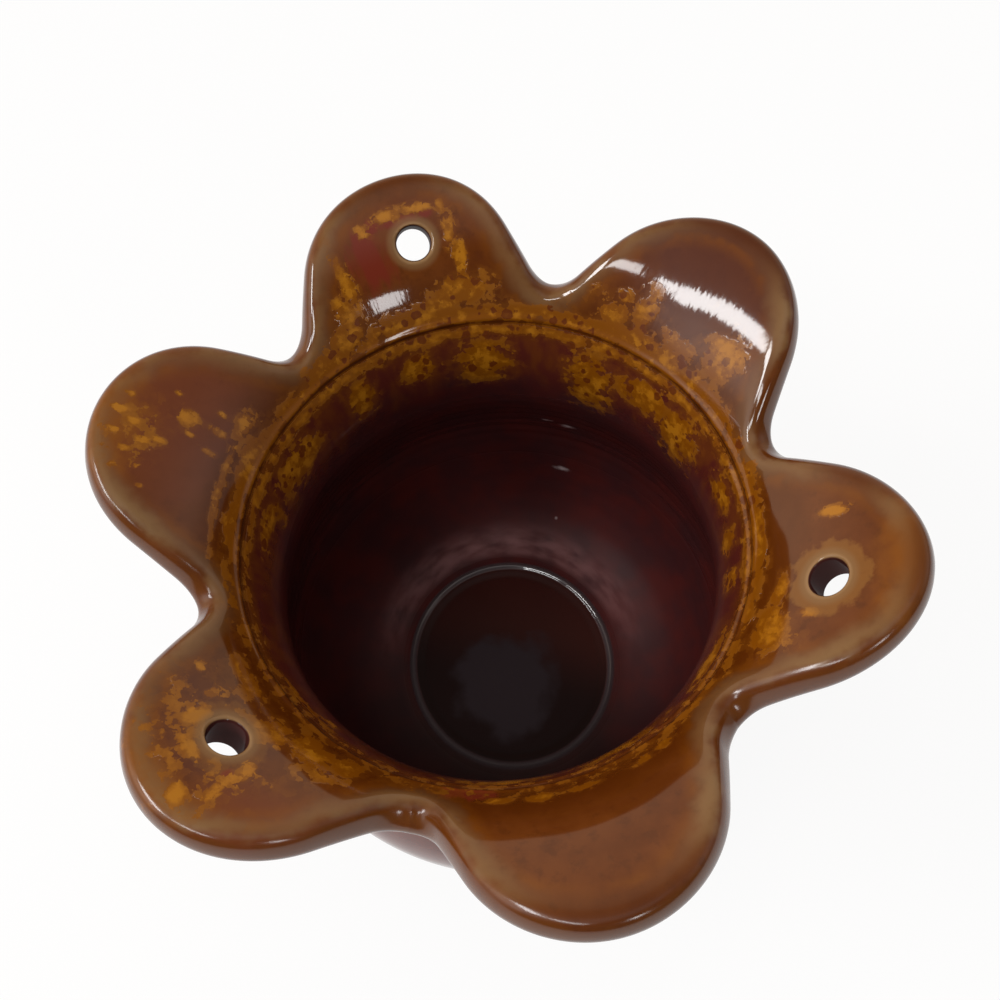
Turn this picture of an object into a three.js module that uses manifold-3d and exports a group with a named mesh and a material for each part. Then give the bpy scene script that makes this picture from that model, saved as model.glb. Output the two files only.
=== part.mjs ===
// A glazed hanging planter: a round-bellied bowl on a foot ring, a trumpet neck and a brim of six petals.
// Every second petal is pierced for a hanging cord. The clay parts are luted together at narrow seams.
// Millimetres, +Z up. The pot's axis is Z and its foot stands on z = 0.

import * as THREE from 'three';
import { mergeVertices } from 'three/addons/utils/BufferGeometryUtils.js';
import Module from 'manifold-3d';

// Foot and floor
const floorRadius = 34.3; // the sunk disc in the middle of the floor
const floorThickness = 7.5; // at the disc's rim
const floorSink = 1.5; // how far the disc's face lies below the wall's inner end
const floorRounding = 1.2; // rounding of the wall's inner end, beside the disc
const footHeight = 3.5;
const footOutset = 6.5; // how far the foot ring reaches outside the disc's seam
const footInset = 1.5; // and how far inside it
const footEasing = 1; // bevel on the ring's lower edges

// Bowl wall and neck, inside sizes
const bellyRadius = 67.5; // the widest ring
const bellyRise = 40; // height of the widest ring above the floor
const neckRadius = 59.5; // the narrowest ring
const neckRise = 84.3; // height of the narrowest ring above the floor
const wallThickness = 7;

// Flare: its face is part of an upright ellipse whose centre stands outside the neck
const flareReach = 62.9; // half axis along the radius
const flareRise = 51.8; // half axis along the height
const throatOutset = 5.5; // how far outside the neck's radius the luting groove lies
const grooveDepth = 0.8;
const beadWidth = 2.6; // the rounded bead on each side of the groove
const beadHeight = 0.5;

// Petals
const petalCount = 6;
const petalThickness = 9.4;
const petalReach = 38.4; // from the luting groove to a petal's tip
const tipRounding = 30.9; // a petal's round end, in plan
const valleyOutset = 11.5; // from the luting groove to the bottom of the valley between two petals
const sideLength = 11; // the straight stretch of a petal's side in plan, from its round end to the valley's arc

// Hanging holes
const holeOutset = 16.4; // from the luting groove to a hole's middle
const holeDiameter = 9.4;
const holeLip = 1; // rounding of the hole's two rims

const lutingGap = 0.3; // the seam that every two clay parts leave between them

// Fineness of the facets
const turnSteps = 60; // round the pot
const curveSteps = 7; // along a curved profile
const petalRows = 5; // from the bead out to a petal's edge
const edgeSteps = 6; // round a petal's edge
const tipSteps = 7; // along half a petal's round end
const valleySteps = 4; // along half a valley
const holeTurnSteps = 20;
const lipSteps = 3;

// Levels and radii that follow from the sizes above
const floorLevel = footHeight + floorThickness;
const bellyLevel = floorLevel + bellyRise;
const neckLevel = floorLevel + neckRise;
const footRadius = floorRadius + footOutset;
const throatRadius = neckRadius + throatOutset;
const flareCentre = neckRadius + flareReach;
const grooveAngle = Math.acos((flareCentre - throatRadius) / flareReach);
const groovePitch = Math.hypot(flareReach * Math.sin(grooveAngle), flareRise * Math.cos(grooveAngle));
const seamAngle = lutingGap / 2 / groovePitch;
const beadAngle = beadWidth / groovePitch;
const petalTurn = (2 * Math.PI) / petalCount;
const tipCentreRadius = throatRadius + petalReach - tipRounding;
const valleyRadius = throatRadius + valleyOutset;

// The valley's rounding in plan that leaves the straight side its length between two touching arcs
const tipAlongValley = tipCentreRadius * Math.cos(petalTurn / 2);
const tipAcrossValley = tipCentreRadius * Math.sin(petalTurn / 2);
const tipToValley = Math.hypot(valleyRadius - tipAlongValley, tipAcrossValley);
const valleyRounding =
  (tipToValley ** 2 - tipRounding ** 2 - sideLength ** 2) / (2 * (tipRounding + tipAlongValley - valleyRadius));

const glaze = {
  brown: { color: 0x6b3f1f, roughness: 0.12, metalness: 0 },
  amber: { color: 0x6a3a0c, roughness: 0.12, metalness: 0 },
  plum: { color: 0x3a161a, roughness: 0.15, metalness: 0 },
  bareClay: { color: 0xa58a72, roughness: 0.85, metalness: 0 },
};

const wasm = await Module();
wasm.setup();

function toSolid(geometry) {
  const bare = geometry.clone();
  bare.deleteAttribute('normal');
  bare.deleteAttribute('uv');
  const merged = mergeVertices(bare);
  const vertProperties = new Float32Array(merged.attributes.position.array);
  const triVerts = new Uint32Array(merged.index.array);
  return new wasm.Manifold(new wasm.Mesh({ numProp: 3, vertProperties, triVerts }));
}

function toGeometry(solid) {
  const mesh = solid.getMesh();
  const geometry = new THREE.BufferGeometry();
  geometry.setAttribute('position', new THREE.BufferAttribute(mesh.vertProperties, 3));
  geometry.setIndex(new THREE.BufferAttribute(mesh.triVerts, 1));
  geometry.computeVertexNormals();
  return geometry;
}

// Values from 0 to 1 in even steps
function evenSteps(count) {
  return Array.from({ length: count + 1 }, (_, i) => i / count);
}

// A solid of revolution about Z from a closed profile of [radius, height] points, outer side upwards
function revolve(profile) {
  const points = [...profile, profile[0]].map(([radius, height]) => new THREE.Vector2(radius, height));
  return new THREE.LatheGeometry(points, turnSteps).rotateX(Math.PI / 2);
}

// A closed solid through closed sections of equally many points, with a strip across each end
function loft(sections) {
  const count = sections[0].length;
  const last = (sections.length - 1) * count;
  const index = [];
  for (let start = 0; start < last; start += count) {
    for (let i = 0; i < count; i += 1) {
      const a = start + i;
      const b = start + ((i + 1) % count);
      index.push(a, b, a + count, b, b + count, a + count);
    }
  }
  for (let i = 0, j = count - 1; i + 1 < j; i += 1, j -= 1) {
    index.push(i, j, i + 1, last + i, last + i + 1, last + j);
    if (i + 1 < j - 1) {
      index.push(i + 1, j, j - 1, last + i + 1, last + j - 1, last + j);
    }
  }
  const geometry = new THREE.BufferGeometry().setFromPoints(sections.flat());
  geometry.setIndex(index);
  return geometry;
}

// A point of the flare in the [radius, height] plane: angle 0 is the neck, and depth goes into the clay
function flarePoint(angle, depth) {
  const radius = flareCentre - (flareReach - depth) * Math.cos(angle);
  const height = neckLevel + (flareRise - depth) * Math.sin(angle);
  return [radius, height];
}

// The flare's angle where its middle layer has the given radius
function flareAngleAt(radius) {
  return Math.acos((flareCentre - radius) / (flareReach - petalThickness / 2));
}

// The groove's side and the bead next to it, as [distance in angle from the seam, depth] rows
const beadRows = [
  [seamAngle, grooveDepth],
  [seamAngle + beadAngle / 2, -beadHeight],
  [seamAngle + beadAngle, 0],
];

// The wall between floor and belly: a quarter of an ellipse that starts level and ends upright
function lowerWall(startRadius, endRadius, drop) {
  return evenSteps(curveSteps).map((share) => {
    const angle = (share * Math.PI) / 2;
    return [startRadius + (endRadius - startRadius) * Math.sin(angle), bellyLevel - drop * Math.cos(angle)];
  });
}

// The wall between belly and neck: it draws in smoothly and is upright at both ends
function upperWall(offset) {
  const topLevel = neckLevel - lutingGap;
  return evenSteps(curveSteps).slice(1).map((share) => {
    const swell = (1 + Math.cos(share * Math.PI)) / 2;
    const radius = neckRadius + offset + (bellyRadius - neckRadius) * swell;
    return [radius, bellyLevel + (topLevel - bellyLevel) * share];
  });
}

function bowlWall() {
  const innerEnd = floorRadius + lutingGap;
  const outside = [
    ...lowerWall(footRadius, bellyRadius + wallThickness, bellyRise + floorThickness),
    ...upperWall(wallThickness),
  ];
  const inside = [...lowerWall(innerEnd + floorRounding, bellyRadius, bellyRise), ...upperWall(0)];
  const rounding = evenSteps(lipSteps).slice(1).map((share) => {
    const angle = (share * Math.PI) / 2;
    const radius = innerEnd + floorRounding * (1 - Math.sin(angle));
    return [radius, floorLevel - floorRounding * (1 - Math.cos(angle))];
  });
  return revolve([...outside, ...inside.reverse(), ...rounding, [innerEnd, footHeight]]);
}

function bowlFloor() {
  const face = floorLevel - floorSink;
  return revolve([[0, footHeight], [floorRadius, footHeight], [floorRadius, face], [0, face]]);
}

function footRing() {
  const inner = floorRadius - footInset;
  const top = footHeight - lutingGap;
  return revolve([
    [inner + footEasing, 0],
    [footRadius - footEasing, 0],
    [footRadius, footEasing],
    [footRadius, top],
    [inner, top],
    [inner, footEasing],
  ]);
}

// The neck from its narrowest ring up to the groove, as thick as the wall below and as the petals above
function throatCollar() {
  const beadEnd = grooveAngle - beadRows.at(-1)[0];
  const outside = evenSteps(curveSteps).map((share) => {
    const depth = wallThickness + (petalThickness - wallThickness) * share;
    return flarePoint((grooveAngle - seamAngle) * share, depth);
  });
  const beads = beadRows.map(([angle, depth]) => flarePoint(grooveAngle - angle, depth));
  const inside = evenSteps(curveSteps).slice(0, -1).map((share) => flarePoint(beadEnd * share, 0));
  return revolve([...outside, ...beads, ...inside.reverse()]);
}

// The middle line of a petal's edge in plan, from the tip to the valley: round end, inner tangent, valley arc.
// Each entry holds a point and the direction square to the edge, pointing out of the clay.
function halfOutline() {
  const edgeRadius = petalThickness / 2;
  const tipArc = tipRounding - edgeRadius;
  const valleyArc = valleyRounding + edgeRadius;
  const tipCentre = new THREE.Vector2(tipCentreRadius, 0);
  const valleyCentre = new THREE.Vector2(valleyRadius + valleyRounding, 0);
  valleyCentre.rotateAround(new THREE.Vector2(), petalTurn / 2);
  const between = valleyCentre.clone().sub(tipCentre);
  const tangentAngle = between.angle() - Math.acos((tipArc + valleyArc) / between.length());
  const tip = evenSteps(tipSteps).map((share) => {
    const angle = tangentAngle * share;
    const out = new THREE.Vector2(Math.cos(angle), Math.sin(angle));
    return { point: tipCentre.clone().addScaledVector(out, tipArc), out };
  });
  const valley = evenSteps(valleySteps).map((share) => {
    const angle = tangentAngle + (petalTurn / 2 - tangentAngle) * share;
    const out = new THREE.Vector2(Math.cos(angle), Math.sin(angle));
    return { point: valleyCentre.clone().addScaledVector(out, -valleyArc), out };
  });
  return [...tip, ...valley];
}

// A closed section through the petal at one point of its outline: face, rounded edge, underside
function petalSection({ point, out }) {
  const azimuth = point.angle();
  const place = ([radius, height]) =>
    new THREE.Vector3(radius * Math.cos(azimuth), radius * Math.sin(azimuth), height);
  const edgeAngle = flareAngleAt(point.length());
  const beadEnd = grooveAngle + beadRows.at(-1)[0];
  const rows = [
    ...beadRows.map(([angle, depth]) => [grooveAngle + angle, depth]),
    ...evenSteps(petalRows).slice(1).map((share) => [beadEnd + (edgeAngle - beadEnd) * share, 0]),
  ];
  const face = rows.map(([angle, depth]) => place(flarePoint(angle, depth)));
  const underside = rows.map(([angle]) => place(flarePoint(angle, petalThickness)));
  const middle = face.at(-1).clone().lerp(underside.at(-1), 0.5);
  const upward = face.at(-1).clone().sub(middle);
  const outward = new THREE.Vector3(out.x, out.y, 0).projectOnPlane(upward.clone().normalize());
  outward.setLength(upward.length());
  const edge = evenSteps(edgeSteps).slice(1, -1).map((share) => {
    const angle = share * Math.PI;
    return middle.clone().addScaledVector(upward, Math.cos(angle)).addScaledVector(outward, Math.sin(angle));
  });
  return [...face, ...edge, ...underside.reverse()];
}

// One petal along +X, from valley to valley, drawn back from both valleys by half a luting gap
function petalBody() {
  const half = halfOutline().map(petalSection);
  const valleySide = new THREE.Vector3(0, 1, 0).applyAxisAngle(new THREE.Vector3(0, 0, 1), petalTurn / 2);
  half.at(-1).forEach((p) => p.addScaledVector(valleySide, -lutingGap / 2));
  const mirrored = half.slice(1).map((section) => section.map((p) => new THREE.Vector3(p.x, -p.y, p.z)));
  return loft([...mirrored.reverse(), ...half]);
}

// The cutter for a hanging hole, square to the petal's face, with a rounded rim at both ends
function holeCutter() {
  const boreRadius = holeDiameter / 2;
  const reach = petalThickness;
  const rim = evenSteps(lipSteps).map((share) => {
    const angle = (share * Math.PI) / 2;
    const radius = boreRadius + holeLip * (1 - Math.cos(angle));
    return [radius, petalThickness / 2 - holeLip * (1 - Math.sin(angle))];
  });
  const upper = [...rim, [boreRadius + holeLip, reach], [0, reach]];
  const lower = upper.map(([radius, height]) => [radius, -height]).reverse();
  const points = [...lower, ...upper].map(([radius, height]) => new THREE.Vector2(radius, height));
  const angle = Math.acos((flareCentre - throatRadius - holeOutset) / flareReach);
  const axis = new THREE.Vector3(-flareRise * Math.cos(angle), 0, flareReach * Math.sin(angle)).normalize();
  const [radius, height] = flarePoint(angle, petalThickness / 2);
  const turn = new THREE.Quaternion().setFromUnitVectors(new THREE.Vector3(0, 1, 0), axis);
  const cutter = new THREE.LatheGeometry(points, holeTurnSteps);
  return cutter.applyQuaternion(turn).translate(radius, 0, height);
}

const planter = new THREE.Group();

function addPiece(name, geometry, look, turn = 0) {
  const mesh = new THREE.Mesh(geometry, new THREE.MeshStandardMaterial(look));
  mesh.name = name;
  mesh.rotation.z = turn;
  planter.add(mesh);
}

addPiece('foot_ring', footRing(), glaze.bareClay);
addPiece('bowl_floor', bowlFloor(), glaze.plum);
addPiece('bowl_wall', bowlWall(), glaze.plum);
addPiece('throat_collar', throatCollar(), glaze.amber);

const plainPetal = petalBody();
const piercedPetal = toGeometry(toSolid(plainPetal).subtract(toSolid(holeCutter())));
const petalNames = [
  'plain_petal_rear_right',
  'hanging_petal_rear',
  'plain_petal_rear_left',
  'hanging_petal_left',
  'plain_petal_front',
  'hanging_petal_right',
];
petalNames.forEach((name, i) => {
  const body = name.startsWith('hanging') ? piercedPetal : plainPetal;
  addPiece(name, body.clone(), glaze.brown, (i + 0.5) * petalTurn);
});

export default planter;
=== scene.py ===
"""A glazed hanging planter of thrown stoneware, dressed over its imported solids.

Metres, in the solids' own frame: +Z up, the pot's axis on Z, the foot standing on z = 0.
Every clay part is modelled again at a fine pitch and replaces its own node.
One glaze flows over all the parts, so neighbours share its colours.
"""

from collections import namedtuple
from math import acos, cos, hypot, pi, radians, sin

import bpy
import numpy as np
from mathutils import Matrix, Vector


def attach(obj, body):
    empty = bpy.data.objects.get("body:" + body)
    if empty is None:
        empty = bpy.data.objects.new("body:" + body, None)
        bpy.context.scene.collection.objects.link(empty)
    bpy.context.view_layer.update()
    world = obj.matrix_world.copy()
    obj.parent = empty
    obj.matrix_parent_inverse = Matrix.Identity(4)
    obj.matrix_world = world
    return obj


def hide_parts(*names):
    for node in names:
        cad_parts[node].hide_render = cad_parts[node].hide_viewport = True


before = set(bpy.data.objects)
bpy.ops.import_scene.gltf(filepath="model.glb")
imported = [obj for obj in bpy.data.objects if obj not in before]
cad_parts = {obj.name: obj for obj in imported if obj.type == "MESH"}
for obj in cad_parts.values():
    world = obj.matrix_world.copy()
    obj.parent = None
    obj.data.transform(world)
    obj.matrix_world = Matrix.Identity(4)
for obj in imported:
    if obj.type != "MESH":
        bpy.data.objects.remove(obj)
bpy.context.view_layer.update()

MM = 0.001

# Foot and floor
FLOOR_RADIUS = 34.3 * MM
FLOOR_THICKNESS = 7.5 * MM
FLOOR_SINK = 0.4 * MM
FLOOR_COVE = 3.0 * MM
RIDGE_WIDTH = 3.0 * MM
FLOOR_SQUEEZE = 0.94
SQUEEZE_REACH = 55.0 * MM
RIDGE_HEIGHT = 0.6 * MM
FOOT_HEIGHT = 3.5 * MM
FOOT_OUTSET = 6.5 * MM
FOOT_INSET = 1.5 * MM
FOOT_EASING = 1.0 * MM

# Bowl wall and neck, inside sizes
BELLY_RADIUS = 67.5 * MM
BELLY_RISE = 40.0 * MM
NECK_RADIUS = 59.5 * MM
NECK_RISE = 84.3 * MM
WALL_THICKNESS = 7.0 * MM

# Flare: its face is part of an upright ellipse whose centre stands outside the neck
FLARE_REACH = 62.9 * MM
FLARE_RISE = 51.8 * MM
THROAT_OUTSET = 5.5 * MM

# Luting groove and the soft beads above and below it
GROOVE_DEPTH = 0.34 * MM
GROOVE_WIDTH = 1.2 * MM
BEAD_SPAN = 4.0 * MM
UPPER_BEAD_PLACE = 1.7 * MM
UPPER_BEAD_WIDTH = 1.1 * MM
UPPER_BEAD_HEIGHT = 0.30 * MM
LOWER_BEAD_PLACE = -1.3 * MM
LOWER_BEAD_WIDTH = 0.8 * MM
LOWER_BEAD_HEIGHT = 0.24 * MM

# Rings that the thrower's fingers left on the inside
THROWING_PITCH = 5.5 * MM
THROWING_DEPTH = 0.07 * MM

# Petals
PETAL_COUNT = 6
PETAL_THICKNESS = 9.4 * MM
PETAL_REACH = 38.4 * MM
TIP_ROUNDING = 30.9 * MM
VALLEY_OUTSET = 11.5 * MM
SIDE_LENGTH = 11.0 * MM
EDGE_FULLNESS = 2.6

# Hanging holes
HOLE_OUTSET = 16.4 * MM
HOLE_RADIUS = 4.7 * MM
HOLE_LIP = 1.2 * MM
CUTTER_MARGIN = 1.05

# Each petal as the hand left it, off the regular flower: its reach, the lift of its tip, the turn of
# its tip about the axis, a lean to one side, its breadth, and the turn and outset of the next valley
Habit = namedtuple("Habit", "reach lift tip_turn lean breadth valley_turn valley_outset")


def habit_of(reach, lift, tip_turn, lean, breadth, valley_turn, valley_outset):
    """A petal's habit, from millimetres and degrees."""
    turns = {"tip_turn": radians(tip_turn), "valley_turn": radians(valley_turn)}
    sizes = {"reach": reach * MM, "lift": lift * MM, "lean": lean * MM, "breadth": breadth * MM}
    return Habit(valley_outset=valley_outset * MM, **turns, **sizes)


PETAL_HABITS = {
    "plain_petal_rear_right": habit_of(-1.3, 1.2, 0.3, 0.1, -0.6, 1.9, 0.3),
    "hanging_petal_rear": habit_of(-0.4, -0.2, 0.2, 0.0, 0.2, 1.1, 0.5),
    "plain_petal_rear_left": habit_of(-0.6, 1.2, -0.2, 0.0, 0.2, 0.0, -0.3),
    "hanging_petal_left": habit_of(0.3, 0.3, 0.1, 0.1, -0.4, 0.5, 0.8),
    "plain_petal_front": habit_of(-0.9, 3.0, -0.7, 1.0, -0.5, 1.6, 0.6),
    "hanging_petal_right": habit_of(-0.7, 3.0, 0.7, 0.3, -1.0, 0.6, -0.4),
}

# Each hole as it was cut: how far out of its regular place, and its turn about the axis
HOLE_HABITS = {
    "hanging_petal_rear": (0.6 * MM, radians(-0.8)),
    "hanging_petal_left": (-0.9 * MM, radians(-1.4)),
    "hanging_petal_right": (-0.8 * MM, radians(-0.9)),
}

# How strongly the glaze broke to tan round each hole
HOLE_HALOS = {
    "hanging_petal_rear": 0.0,
    "hanging_petal_left": 0.5,
    "hanging_petal_right": 1.0,
}

# Fineness of the meshes
TURN_STEPS = 192
WALL_STEPS = 60
COLLAR_STEPS = 24
BEAD_ROWS = 24
FACE_ROWS = 40
EDGE_ROWS = 18
UNDERSIDE_ROWS = 22
TIP_COLUMNS = 38
SIDE_COLUMNS = 12
VALLEY_COLUMNS = 20
VALLEY_CROWDING = 1.7
HOLE_STEPS = 64
LIP_STEPS = 8
WELD = 1e-7
SMOOTH_ANGLE = radians(40)

# Levels and radii that follow from the sizes above
FLOOR_LEVEL = FOOT_HEIGHT + FLOOR_THICKNESS
BELLY_LEVEL = FLOOR_LEVEL + BELLY_RISE
NECK_LEVEL = FLOOR_LEVEL + NECK_RISE
FOOT_RADIUS = FLOOR_RADIUS + FOOT_OUTSET
THROAT_RADIUS = NECK_RADIUS + THROAT_OUTSET
FLARE_CENTRE = NECK_RADIUS + FLARE_REACH
GROOVE_ANGLE = acos((FLARE_CENTRE - THROAT_RADIUS) / FLARE_REACH)
GROOVE_LEVEL = NECK_LEVEL + FLARE_RISE * sin(GROOVE_ANGLE)
GROOVE_PITCH = hypot(FLARE_REACH * sin(GROOVE_ANGLE), FLARE_RISE * cos(GROOVE_ANGLE))
HALF_PETAL = pi / PETAL_COUNT
TIP_CENTRE_RADIUS = THROAT_RADIUS + PETAL_REACH - TIP_ROUNDING
VALLEY_RADIUS = THROAT_RADIUS + VALLEY_OUTSET
TIP_ALONG_VALLEY = TIP_CENTRE_RADIUS * cos(HALF_PETAL)
TIP_ACROSS_VALLEY = TIP_CENTRE_RADIUS * sin(HALF_PETAL)
TIP_TO_VALLEY = hypot(VALLEY_RADIUS - TIP_ALONG_VALLEY, TIP_ACROSS_VALLEY)
VALLEY_ROUNDING = (TIP_TO_VALLEY**2 - TIP_ROUNDING**2 - SIDE_LENGTH**2) / (
    2 * (TIP_ROUNDING + TIP_ALONG_VALLEY - VALLEY_RADIUS)
)


def even(count):
    """The shares from 0 to 1, in a count of equal steps."""
    return np.linspace(0, 1, count + 1)


def polar_points(azimuth, radius, height):
    """Places in the frame, from their azimuth, radius and height."""
    return np.stack([radius * np.cos(azimuth), radius * np.sin(azimuth), height + 0 * azimuth], -1)


def vertex_places(piece):
    place = np.empty(3 * len(piece.data.vertices))
    piece.data.vertices.foreach_get("co", place)
    return place.reshape(-1, 3)


def polar_places(piece):
    """The places of a piece's points, with their azimuths and radii."""
    place = vertex_places(piece)
    return place, np.arctan2(place[:, 1], place[:, 0]), np.hypot(place[:, 0], place[:, 1])


def flare(angle, depth):
    """Radius and height on the flare: angle 0 is the neck, and depth goes into the clay."""
    radius = FLARE_CENTRE - (FLARE_REACH - depth) * np.cos(angle)
    height = NECK_LEVEL + (FLARE_RISE - depth) * np.sin(angle)
    return radius, height


def bump(distance, place, width):
    """A soft bump of height 1 at one place, about twice the width across."""
    return np.exp(-(((distance - place) / width) ** 2))


def drift(azimuth, pace):
    """The slow unevenness of handwork round the pot, between -1 and 1."""
    waves = np.sin(pace * azimuth + 1.3) + 0.8 * np.sin((2 * pace + 1) * azimuth + 0.4)
    return (waves + 0.6 * np.sin((4 * pace + 3) * azimuth + 2.2)) / 2.4


def relief(distance, azimuth):
    """Depth of the groove and its two beads, by the distance from the groove up the face."""
    groove = GROOVE_DEPTH * (1 + 0.3 * drift(azimuth, 3)) * bump(distance, 0, GROOVE_WIDTH)
    upper_width = UPPER_BEAD_WIDTH * (1 + 0.3 * drift(azimuth, 5))
    upper_height = UPPER_BEAD_HEIGHT * (1 + 0.5 * drift(azimuth, 4))
    upper = upper_height * bump(distance, UPPER_BEAD_PLACE, upper_width)
    lower_width = LOWER_BEAD_WIDTH * (1 + 0.3 * drift(azimuth, 6))
    lower_height = LOWER_BEAD_HEIGHT * (1 + 0.6 * drift(azimuth, 7))
    lower = lower_height * bump(distance, LOWER_BEAD_PLACE, lower_width)
    return groove - upper - lower


def start_mesh(name):
    """Names the primitive that has just been added and starts its edit mode, all selected."""
    piece = bpy.context.object
    piece.name = name
    piece.data.name = name
    bpy.ops.object.mode_set(mode="EDIT")
    bpy.ops.mesh.select_all(action="SELECT")
    return piece


def close_mesh():
    """Welds the doubles, drops loose edges, turns the faces outwards and shades them smooth."""
    bpy.ops.mesh.select_all(action="SELECT")
    bpy.ops.mesh.remove_doubles(threshold=WELD)
    bpy.ops.mesh.delete_loose()
    bpy.ops.mesh.select_all(action="SELECT")
    bpy.ops.mesh.normals_make_consistent(inside=False)
    bpy.ops.object.mode_set(mode="OBJECT")
    bpy.ops.object.shade_smooth_by_angle(angle=SMOOTH_ANGLE)


def turned(name, profile, turn_steps=TURN_STEPS):
    """A closed profile of (radius, height) points, laid on a ring of edges and spun about Z."""
    bpy.ops.object.select_all(action="DESELECT")
    bpy.ops.mesh.primitive_circle_add(vertices=len(profile))
    for vertex, (radius, height) in zip(bpy.context.object.data.vertices, profile):
        vertex.co = (radius, 0, height)
    piece = start_mesh(name)
    bpy.ops.mesh.spin(steps=turn_steps, angle=2 * pi, center=(0, 0, 0), axis=(0, 0, 1))
    close_mesh()
    return piece


def points(radii, heights):
    return list(zip(np.asarray(radii).tolist(), np.asarray(heights).tolist()))


def lower_wall(start_radius, end_radius, drop):
    """The wall between floor and belly: a quarter of an ellipse."""
    angle = even(WALL_STEPS) * pi / 2
    radius = start_radius + (end_radius - start_radius) * np.sin(angle)
    return points(radius, BELLY_LEVEL - drop * np.cos(angle))


def upper_wall(offset):
    """The wall between belly and neck, upright at both ends."""
    share = even(WALL_STEPS)[1:]
    swell = (1 + np.cos(share * pi)) / 2
    radius = NECK_RADIUS + offset + (BELLY_RADIUS - NECK_RADIUS) * swell
    return points(radius, BELLY_LEVEL + (NECK_LEVEL - BELLY_LEVEL) * share)


def inside_wall():
    return lower_wall(FLOOR_RADIUS + RIDGE_WIDTH, BELLY_RADIUS, BELLY_RISE) + upper_wall(0)


def middle_radius(height):
    """Radius of the middle of the wall, from the floor up to the groove."""
    neck = points(*flare(GROOVE_ANGLE * even(COLLAR_STEPS)[1:], 0))
    radii, heights = zip(*(inside_wall() + neck))
    return np.interp(height, heights, radii) + WALL_THICKNESS / 2


def throwing_rings(profile):
    """The same profile with shallow rings pressed into it, which fade out at both ends."""
    height = np.array([point[1] for point in profile])
    share = (height - height[0]) / (height[-1] - height[0])
    press = THROWING_DEPTH * np.sin(height / THROWING_PITCH * 2 * pi) * np.sin(share * pi)
    return [(radius + ring, level) for (radius, level), ring in zip(profile, press.tolist())]


def squeezed(piece):
    """The same piece with the floor and its ridge drawn in a little on both sides."""
    place, _, radius = polar_places(piece)
    inside = radius < middle_radius(place[:, 2])
    depth = np.clip((place[:, 2] - FOOT_HEIGHT) / (FLOOR_THICKNESS - FLOOR_SINK), 0, 1)
    share = np.clip((SQUEEZE_REACH - radius) / (SQUEEZE_REACH - FLOOR_RADIUS - RIDGE_WIDTH), 0, 1)
    place[:, 0] *= 1 + (FLOOR_SQUEEZE - 1) * inside * depth * share**2 * (3 - 2 * share)
    piece.data.vertices.foreach_set("co", place.ravel())
    return piece


def bowl_wall():
    """The wall, with the raised ridge round the floor at its inner foot."""
    outside = lower_wall(FOOT_RADIUS, BELLY_RADIUS + WALL_THICKNESS, BELLY_RISE + FLOOR_THICKNESS)
    outside += upper_wall(WALL_THICKNESS)
    across = even(2 * LIP_STEPS)[1:]
    crown = (1 - np.cos(across * 2 * pi)) / 2
    ridge = points(FLOOR_RADIUS + RIDGE_WIDTH * (1 - across), FLOOR_LEVEL + RIDGE_HEIGHT * crown)
    inside = throwing_rings(inside_wall())[::-1]
    return turned("glazed_bowl_wall", outside + inside + ridge + [(FLOOR_RADIUS, FOOT_HEIGHT)])


def bowl_floor():
    """The sunk disc of the floor, whose rim curves up to the ridge."""
    face = FLOOR_LEVEL - FLOOR_SINK
    share = even(LIP_STEPS)
    cove = points(FLOOR_RADIUS - FLOOR_COVE * share, face + FLOOR_SINK * (1 + np.cos(share * pi)) / 2)
    radii = (FLOOR_RADIUS - FLOOR_COVE) * even(WALL_STEPS)[-2::-1]
    underside = [(0, FOOT_HEIGHT), (FLOOR_RADIUS, FOOT_HEIGHT)]
    return turned("glazed_bowl_floor", underside + cove + points(radii, radii * 0 + face))


def foot_ring():
    """A ring of bare clay, eased at both edges of its flat underside."""
    inner = FLOOR_RADIUS - FOOT_INSET
    angle = even(LIP_STEPS) * pi / 2
    falling = FOOT_EASING * (1 - np.sin(angle))
    rising = FOOT_EASING * (1 - np.cos(angle))
    outer_easing = points(FOOT_RADIUS - falling, rising)
    inner_easing = points(inner + rising, falling)
    top = [(FOOT_RADIUS, FOOT_HEIGHT), (inner, FOOT_HEIGHT)]
    return turned("clay_foot_ring", outer_easing + top + inner_easing)


def throat_collar():
    """The neck from its narrowest ring up to the groove, with the bead pressed up below the groove."""
    share = even(COLLAR_STEPS)
    depth = WALL_THICKNESS + (PETAL_THICKNESS - WALL_THICKNESS) * (1 - np.cos(share * pi)) / 2
    outside = points(*flare(GROOVE_ANGLE * share, depth))
    bead_end = GROOVE_ANGLE - BEAD_SPAN / GROOVE_PITCH
    bead = points(*flare(GROOVE_ANGLE + (bead_end - GROOVE_ANGLE) * even(BEAD_ROWS), 0))
    inside = points(*flare(bead_end * share[-2::-1], 0))
    piece = turned("glazed_throat_collar", outside + bead + inside)
    place, azimuth, radius = polar_places(piece)
    angle = np.arccos((FLARE_CENTRE - radius) / FLARE_REACH)
    face = abs(flare(angle, 0)[1] - place[:, 2]) < WELD
    pressed = np.stack(flare(angle, relief((angle - GROOVE_ANGLE) * GROOVE_PITCH, azimuth)), 1)
    place[face] = polar_points(azimuth, pressed[:, 0], pressed[:, 1])[face]
    piece.data.vertices.foreach_set("co", place.ravel())
    return piece


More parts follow.
